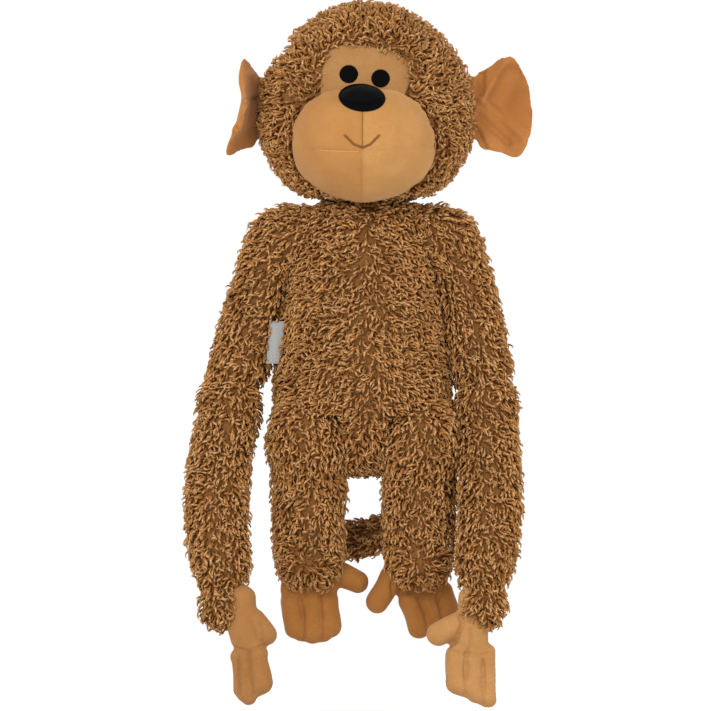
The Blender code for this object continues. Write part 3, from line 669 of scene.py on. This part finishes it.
def build_features(faces):
    """Eyes, nose, mouth and the stitching of the muzzle seams."""
    face = [tree_of(o) for o in faces]
    for side in SIDES:
        low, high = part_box(f"{side}_eye")
        x, _, z = centre_of(f"{side}_eye")
        half = ((high[0] - low[0]) / 2 + 0.2 * MM, (high[2] - low[2]) / 2 + 0.2 * MM)
        eye = satin(f"{side}_eye_satin", face, (x, z), half, 0.0, *EYE_SATIN)
        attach(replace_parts(eye, f"{side}_eye"), "head")
    low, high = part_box("nose")
    x, _, z = centre_of("nose")
    half = ((high[0] - low[0]) / 2, (high[2] - low[2]) * 0.55)
    nose = satin("nose_satin", face, (x, z), half, NOSE_TILT, *NOSE_SATIN)
    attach(nose, "head")
    deep = (high[1] - low[1]) / 2 - 0.5 * MM
    body = ((x, (low[1] + high[1]) / 2, z), (half[0] - 1 * MM, deep, half[1] - 1 * MM))
    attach(skin("nose_padding", ("nose",), 0.8 * MM, 4, INK_THREAD, [body], None), "head")
    low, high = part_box("mouth_stitch")
    bottom = (0.3 * MM, low[2] + 0.6 * MM)
    arms = [[(low[0] + 0.5 * MM, high[2] - 0.4 * MM), (low[0] * 0.45, low[2] + 3.2 * MM), bottom],
            [(high[0] - 0.5 * MM, high[2] - 0.6 * MM), (high[0] * 0.45, low[2] + 3.2 * MM), bottom]]
    for side, line in zip(("right", "left"), arms):
        mouth = stitch_row(f"{side}_mouth", face, line, 0.7 * MM, 2.8 * MM, 0.5 * MM, 0.55 * MM, BROWN, 0.6)
        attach(mouth, "head")
        if side == "left":
            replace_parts(mouth, "mouth_stitch")
    top = z - half[1]
    seam = stitch_row("muzzle_seam_thread", face, [(SEAM_X * MM, top - 0.5 * MM), bottom],
                      1.6 * MM, 1.9 * MM, 0.2 * MM, 0.32 * MM, BROWN)
    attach(seam, "head")
    mouth_z = centre_of("mouth_stitch")[2]
    dart = stitch_row("dart_thread", face, [(-33 * MM, mouth_z - 7 * MM), (-2 * MM, mouth_z - 8.2 * MM)],
                      1.7 * MM, 1.0 * MM, 0.25 * MM, 0.3 * MM, PALE)
    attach(dart, "head")


# Hands and feet: the fingers, toes and palm as chains from (x, z, radius) to (x, z, radius) about the wrist
# or ankle, and the sewn grooves as (line, depth, half width), all in mm
RIGHT_HAND = (
    (((8, 10, 12), (8, -4, 13)), ((8, -4, 13), (13, -20, 14)), ((19, -5, 8), (28, -18, 8.8)),
     ((4.5, -34, 4.6), (7, -63, 5.5)), ((11, -30, 6.5), (14, -68, 6.8)), ((19.5, -30, 8.5), (24, -57, 9.5)),
     ((11, -65, 7.5), (23, -58, 9)), ((5, -36, 6), (22, -34, 8))),
    (([(24, -8), (25, -24)], 1.6, 1.6),
     ([(1, -28.3), (6.7, -30.4), (13.4, -32), (17.6, -28.9), (26.8, -26.8)], 2.0, 1.5),
     ([(6.0, -33.8), (6.8, -66)], 1.8, 1.3), ([(14.2, -33.2), (15.4, -50.4), (18.4, -66)], 1.8, 1.3)),
)
LEFT_HAND = (
    (((-2, 10, 12), (-2, -4, 12.5)), ((-2, -4, 12.5), (-3, -22, 13.5)), ((-13, -8, 8.5), (-29.5, -18, 9.5)),
     ((-15, -34, 8.5), (-15.5, -56, 9)), ((-0.5, -36, 7.5), (0, -66, 7.8)),
     ((9.5, -32, 6.5), (10.5, -70, 6.5)),
     ((-14, -57, 9), (9, -69, 7.5)), ((-14, -36, 8), (8, -36, 7))),
    (([(-12.7, -2), (-10.3, -9.6), (-15.6, -23.7), (-20.9, -27.2)], 2.2, 1.5),
     ([(-3.9, -13), (-3.9, -27.2), (-6.8, -33.2)], 1.8, 1.4),
     ([(-21.5, -28.4), (-8, -33.2), (2.5, -34.4), (9.6, -33.2)], 1.6, 1.4),
     ([(-7.5, -34.4), (-8.4, -66)], 1.8, 1.3), ([(6, -37.9), (6.6, -74)], 1.8, 1.3)),
)
RIGHT_FOOT = (
    (((0, -2, 21), (0, -24, 23)), ((-14, -34, 9.5), (-11, -55, 8.8)), ((1, -38, 9), (2.5, -58.5, 8.8)),
     ((14.5, -34, 10), (17, -53, 9.5)), ((22, -10, 10), (39, -18, 9)),
     ((-11, -54, 9), (17, -53, 9.5)), ((-6, -57, 9), (11, -57, 9))),
    (([(-7.7, -30), (-4.5, -46), (-3.5, -66)], 2.0, 1.3),
     ([(8.5, -28.4), (9.5, -43.6), (10.5, -66)], 2.0, 1.3)),
)
LEFT_FOOT = (
    (((0, -2, 21), (2, -22, 21)), ((-22, -14, 10), (-34, -34, 9.5)), ((-7, -34, 10), (0, -54, 9.5)),
     ((8, -34, 9.5), (13, -52, 9)), ((18, -26, 9.5), (24, -43, 9)),
     ((0, -53, 9.5), (23, -43, 9))),
    (([(-22, -18), (-21, -38)], 2.2, 1.6), ([(-1, -30), (4.5, -44), (7.5, -60)], 2.0, 1.3),
     ([(13, -26), (16.5, -38), (20, -55)], 2.0, 1.3)),
)
EAR_REGAIN = {"left": (1.03, 1.0, 1.08), "right": (1.28, 1.0, 1.04)}
HAND_DEPTH = 9.0
FOOT_DEPTH = 9.5
# Grooves of each ear, as for the hands; a depth below zero is a ridge
LEFT_EAR = (
    ([(24.0, 36.7), (5.5, 8.2)], -4.2, 4.2),
    ([(4.8, 32.0), (3.5, 11.6)], 4.2, 2.6),
    ([(30.5, 26.0), (19.0, 4.0)], 4.5, 8.0),
    ([(5.3, 5.2), (38.1, -23.6)], -2.8, 3.8),
    ([(2.9, -5.7), (25.3, -27.6)], 3.0, 2.8),
    ([(-1.1, -15.6), (8.1, -32.4)], 2.8, 2.2),
)
RIGHT_EAR = (
    ([(-4.3, 26.0), (2.9, 10.0)], -3.2, 3.2),
    ([(-11.5, 3.6), (1.3, 7.6)], 3.0, 2.2),
    ([(1.3, -4.4), (-17.1, -17.2)], -3.4, 5.0),
)


def lie_of(node_name):
    """The plane through the middle of a CAD pad, as y for any (x, z)."""
    co = coords(NODES[node_name].data)
    table = np.c_[np.ones(len(co)), co[:, 0], co[:, 2]]
    a, b, c = np.linalg.lstsq(table, co[:, 1], rcond=None)[0]
    return lambda x, z: a + b * x + c * z


def pods(joint, chains, depth, lie):
    """Flattened balls along the chains, as lobes."""
    x0, _, z0 = JOINTS[joint]["pos_m"]
    made = []
    for start, end in chains:
        for t in np.linspace(0, 1, 9):
            x, z, r = ((1 - t) * a + t * b for a, b in zip(start, end))
            x, z, r = x0 + x * MM, z0 + z * MM, r * MM
            thick = depth * MM * min(1.0, 0.35 + r / (14 * MM))
            made.append(((x, lie(x, z), z), (r, thick, r)))
    return made


def build_end(side, part, joint, names, shape, depth, material, seed):
    """A stuffed velour hand or foot with sewn fingers or toes."""
    chains, grooves = shape
    lobes = pods(joint, chains, depth, lie_of(f"{side}_{part}_stuffing"))
    piece = skin(f"{side}_{part}_velour", [f"{side}_{part}_{k}" for k in names], VELOUR_VOXEL, 9, material,
                 lobes, level=None)
    for line, deep, width in grooves:
        carve(piece, about(joint, line), deep, width)
        carve(piece, about(joint, line), deep, width, front=False)
    rumple(piece, 24 * MM, 0.4 * MM, seed)
    refine(piece)
    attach(piece, f"{side}_{part}")


def build_ends():
    """All four hands and feet."""
    # the right hand's material holds painted shade
    hand = {side: velour_material(f"velour_{side}_hand", HAND_TAN_RIGHT_SHADED[side]) for side in SIDES}
    # painted shade: the feet share one darkened velour
    foot = velour_material("velour_foot_painted_shade", SOLE_TAN_PAINTED_SHADE)
    for side, hand_shape, foot_shape in (("left", LEFT_HAND, LEFT_FOOT), ("right", RIGHT_HAND, RIGHT_FOOT)):
        build_end(side, "hand", f"{side}_wrist_bend", ("palm", "back", "stuffing"), hand_shape, HAND_DEPTH,
                  hand[side], 31)
        build_end(side, "foot", f"{side}_ankle_bend", ("top", "sole", "stuffing"), foot_shape, FOOT_DEPTH,
                  foot, 37)


def build_ears():
    """Cupped velour ears with folds."""
    # the ear colour is partly painted shade of the cup
    ear_velour_and_shade = velour_material("velour_ear_and_shade", BOWL_TAN_AND_SHADE)
    made = {}
    for side, lines in (("left", LEFT_EAR), ("right", RIGHT_EAR)):
        out = 1 if side == "left" else -1
        base = Vector(JOINTS[f"{side}_ear_fold"]["pos_m"]) - Vector((out * 5 * MM, 0, 0))
        panels = (f"{side}_ear_front", f"{side}_ear_back")
        root = (base, (9 * MM, 3.5 * MM, 25 * MM))
        piece = skin(f"{side}_ear_velour", panels, VELOUR_VOXEL, 26, ear_velour_and_shade, [root])
        pivot = np.array(JOINTS[f"{side}_ear_fold"]["pos_m"])
        set_coords(piece, pivot + (coords(piece.data) - pivot) * EAR_REGAIN[side])
        for line, depth, width in lines:
            carve(piece, about(f"{side}_ear_fold", line), depth, width)
        rumple(piece, 20 * MM, 0.35 * MM, 41)
        refine(piece)
        made[side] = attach(piece, f"{side}_ear")
    return made


def down(points, sideways=0.0, centre=0.0):
    """Flow mostly down, and away from a centre line."""
    ways = np.zeros_like(points)
    ways[:, 0] = sideways * np.tanh((points[:, 0] - centre) / (16 * MM))
    ways[:, 2] = -1
    return ways


def untidy(points, share, seed):
    """Locks that point every way where share is high."""
    return np.random.default_rng(seed).normal(size=points.shape) * (1.6 * share)[:, None]


def build_head_backing():
    """The fabric under the head's pile."""
    base = skin("head_backing", ("head_cover", "head_stuffing"), PILE_VOXEL, 12, BACKING)
    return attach(base, "head")


def build_head_pile(base, faces, ears):
    """Locks that radiate from the face."""
    middle = centre_of("nose")

    def flow(points, normals):
        edge = np.array([min(tree.find_nearest(p)[3] for tree in trees) for p in points])
        lean = (1 - 1.5 * np.exp(-edge / (7 * MM)))[:, None]
        return unit(points - middle) * lean + untidy(points, 0.5 * np.exp(-edge / (9 * MM)), 103)

    trees = [tree_of(o) for o in faces]

    def keep(points, normals):
        """Not behind the face, nor in the seam between the muzzle and the brow."""
        apart = np.array([[tree.find_nearest(p)[3] for tree in trees] for p in points])
        ahead = Vector((0, -1, 0))
        behind = [any(tree.ray_cast(Vector(p) + ahead * 0.2 * MM, ahead)[0] is not None for tree in trees)
                  for p in points]
        front = points[:, 1] < middle[1] + 60 * MM
        under_nose = (apart.max(1) < 15 * MM) & (abs(points[:, 0] - middle[0]) < 33 * MM) & front
        hidden = under_nose | (front & np.array(behind))
        return (apart.max(1) > 5 * MM) & (apart.min(1) > 0.4 * MM) & ~hidden

    avoid = [tree_of(ear) for ear in ears]
    for piece in fur("head_pile", base, flow, 101, avoid=avoid, gap=1.2 * MM, keep=keep):
        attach(piece, "head")


def build_torso(limbs):
    """Backing and pile that leave room for the limbs."""
    yoke = ((2 * MM, -61 * MM, 91 * MM), (60 * MM, 34 * MM, 24 * MM))
    base = skin("torso_backing", ("torso_cover", "torso_stuffing"), 3.2 * MM, 8, BACKING, [yoke])
    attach(base, "torso")
    seam = 5 * MM

    def flow(points, normals):
        ways = down(points, 1.0, seam)
        ways[:, 0] *= np.interp(points[:, 2], (-85 * MM, -40 * MM, 60 * MM), (0.1, 1.1, 1.4))
        ways[:, 2] = -0.55
        return ways

    for piece in fur("torso_pile", base, flow, 201, avoid=limbs, gap=-4 * MM):
        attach(piece, "torso")
    return base


def build_arm(side):
    """One soft tube over both arm bodies, blended about the elbow."""
    out = 1 if side == "left" else -1
    names = [f"{side}_{part}_{layer}" for part in ("upper_arm", "forearm")
             for layer in ("cover", "stuffing")]
    shoulder = Vector(JOINTS[f"{side}_arm_swing"]["pos_m"])
    lobe = (shoulder + Vector((-out * 14 * MM, 0, -2 * MM)), (25 * MM, 24 * MM, 24 * MM))
    elbow = Vector(JOINTS[f"{side}_elbow_bend"]["pos_m"])
    wrist = Vector(JOINTS[f"{side}_wrist_bend"]["pos_m"])
    base = skin(f"{side}_arm_backing", names, PILE_VOXEL, 8, BACKING,
                [lobe, (elbow, (22.3 * MM, 22 * MM, 30 * MM)),
                 (wrist + Vector((out * 7 * MM, 0, 7 * MM)), (15 * MM, 14 * MM, 19 * MM))])

    def flow(points, normals):
        ways = np.zeros_like(points)
        ways[:, 0] = out * np.interp(points[:, 2], (-0.2, -0.05, 0.1), (0.1, 0.5, 1.3))
        ways[:, 2] = -1
        return ways

    for piece in [base] + fur(f"{side}_arm_pile", base, flow, 301 if side == "left" else 331):
        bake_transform(piece)
    return base


def build_leg(side):
    """A leg whose pile parts in a whorl above the ankle."""
    hip = Vector(JOINTS[f"{side}_hip_swing"]["pos_m"])
    lobe = (hip + Vector((0, -3 * MM, 6 * MM)), (30 * MM, 35 * MM, 42 * MM))
    base = skin(f"{side}_leg_backing", (f"{side}_leg_cover", f"{side}_leg_stuffing"), 2.5 * MM, 8, BACKING,
                [lobe])
    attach(base, f"{side}_leg")
    low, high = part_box(f"{side}_leg_cover")
    whorl = np.array(((low[0] + high[0]) / 2, low[1], low[2] + 16 * MM))

    def flow(points, normals):
        away = points - whorl
        near = np.exp(-((np.linalg.norm(away, axis=1) / (26 * MM)) ** 2))
        core = np.exp(-((np.linalg.norm(away, axis=1) / (9 * MM)) ** 2))
        return (down(points) * (1 - near[:, None]) + unit(away) * near[:, None] * 1.5
                + untidy(points, core, 405))

    for piece in fur(f"{side}_leg_pile", base, flow, 401 if side == "left" else 431):
        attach(piece, f"{side}_leg")
    return base


def build_tail():
    """The curled tail."""
    base = skin("tail_backing", ("tail_cover", "tail_stuffing"), 2.0 * MM, 6, BACKING)
    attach(base, "tail")

    def flow(points, normals):
        low = points[:, 2] < TAIL_TURN_Z
        ways = np.zeros_like(points)
        ways[:, 0] = np.where(low, -1.0, 0.1)
        ways[:, 2] = np.where(low, -0.3, -1.0)
        return ways

    for piece in fur("tail_pile", base, flow, 501, length=7.5 * MM):
        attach(piece, "tail")
    return base


def build_label():
    """A blank woven tape, folded double and caught in the side seam."""
    low, high = (np.array(v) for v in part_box("side_label"))
    rows, columns = 25, 13
    points, thick = [], 0.45 * MM
    profile = [(k / (columns - 1), 1) for k in range(columns)]
    profile += [(t, -1) for t, _ in reversed(profile)]
    for i in range(rows):
        v = i / (rows - 1)
        for t, layer in profile:
            bend = 1.3 * MM * math.sin(math.pi * t) * math.sin(0.9 * math.pi * v + 0.4)
            gap = thick * layer * (1.0 - 0.85 * (1 - t) ** 6)
            points.append((low[0] + (high[0] - low[0]) * t + 3.0 * MM * (v - 0.4),
                           (low[1] + high[1]) / 2 + 2.5 * MM - bend + gap, low[2] + (high[2] - low[2]) * v))
    around = len(profile)
    faces = []
    for i in range(rows - 1):
        for k in range(around):
            a, b = i * around + k, i * around + (k + 1) % around
            faces.append((a, b, b + around, a + around))
    for ring in (0, (rows - 1) * around):
        for k in range(columns - 1):
            quad = (ring + k, ring + k + 1, ring + around - 2 - k, ring + around - 1 - k)
            faces.append(quad if ring else quad[::-1])
    made = mesh_object("label_tape", np.array(points), np.array(faces),
                       [tape_material("white_tape", WHITE_TAPE)])
    bm = bmesh.new()
    bm.from_mesh(made.data)
    bmesh.ops.recalc_face_normals(bm, faces=bm.faces)
    bm.to_mesh(made.data)
    bm.free()
    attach(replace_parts(made, "side_label"), "torso")


def dress_rest():
    """Thread for the sewn CAD nodes that stay as they are."""
    for one in NODES.values():
        if not one.hide_render:
            for i in range(len(one.data.materials)):
                one.data.materials[i] = BROWN


# ---------------------------------------------------------------- stage
def build_stage():
    """A pale floor, a white world and three soft lights."""
    low, _ = CAD_BOX
    half, ground = FLOOR_HALF, low[2] - FLOOR_GAP
    corners = [(-half, -half, ground), (half, -half, ground), (half, half, ground), (-half, half, ground)]
    floor = mesh_object("floor", np.array(corners), np.array([(0, 1, 2, 3)]), [floor_material()])
    world = bpy.data.worlds.new("studio")
    world.use_nodes = True
    back = world.node_tree.nodes["Background"]
    back.inputs["Color"].default_value = (1, 1, 1, 1)
    back.inputs["Strength"].default_value = 1.0
    bpy.context.scene.world = world
    for name, place, size, power in (
        ("key", (-0.8, -2.2, 0.9), 0.8, 27),
        ("fill", (1.3, -1.5, 0.4), 1.0, 7),
        ("rim", (0.4, 1.3, 1.2), 0.8, 8),
    ):
        light = bpy.data.lights.new(name, "AREA")
        light.size, light.energy = size, power
        lamp = bpy.data.objects.new(name, light)
        lamp.location = place
        lamp.rotation_euler = (Vector((0, -0.08, 0)) - Vector(place)).to_track_quat("-Z", "Y").to_euler()
        bpy.context.scene.collection.objects.link(lamp)


def build_camera():
    """A long lens level with the middle of the toy, straight in front."""
    lens, sensor, span = 800.0, 36.0, 0.5688
    camera = bpy.data.cameras.new("camera")
    camera.lens, camera.sensor_width = lens, sensor
    camera.clip_end = 50
    made = bpy.data.objects.new("camera", camera)
    made.location = (-5.2 * MM, -0.09 - span * lens / sensor, -8.4 * MM)
    made.rotation_euler = (math.pi / 2, 0, 0)
    bpy.context.scene.collection.objects.link(made)
    bpy.context.scene.camera = made
    bpy.context.scene.view_settings.view_transform = "Standard"


def build_monkey():
    """Every visible piece, in the order that later ones need."""
    muzzle, brow = build_muzzle(), build_brow()
    head = build_head_backing()
    build_features((muzzle, brow, head))
    ears = build_ears()
    build_head_pile(head, (muzzle, brow), ears.values())
    build_ends()
    limbs = [build_arm(side) for side in SIDES] + [build_leg(side) for side in SIDES] + [build_tail()]
    build_torso([tree_of(limb) for limb in limbs])
    build_label()
    dress_rest()


build_monkey()
build_stage()
build_camera()
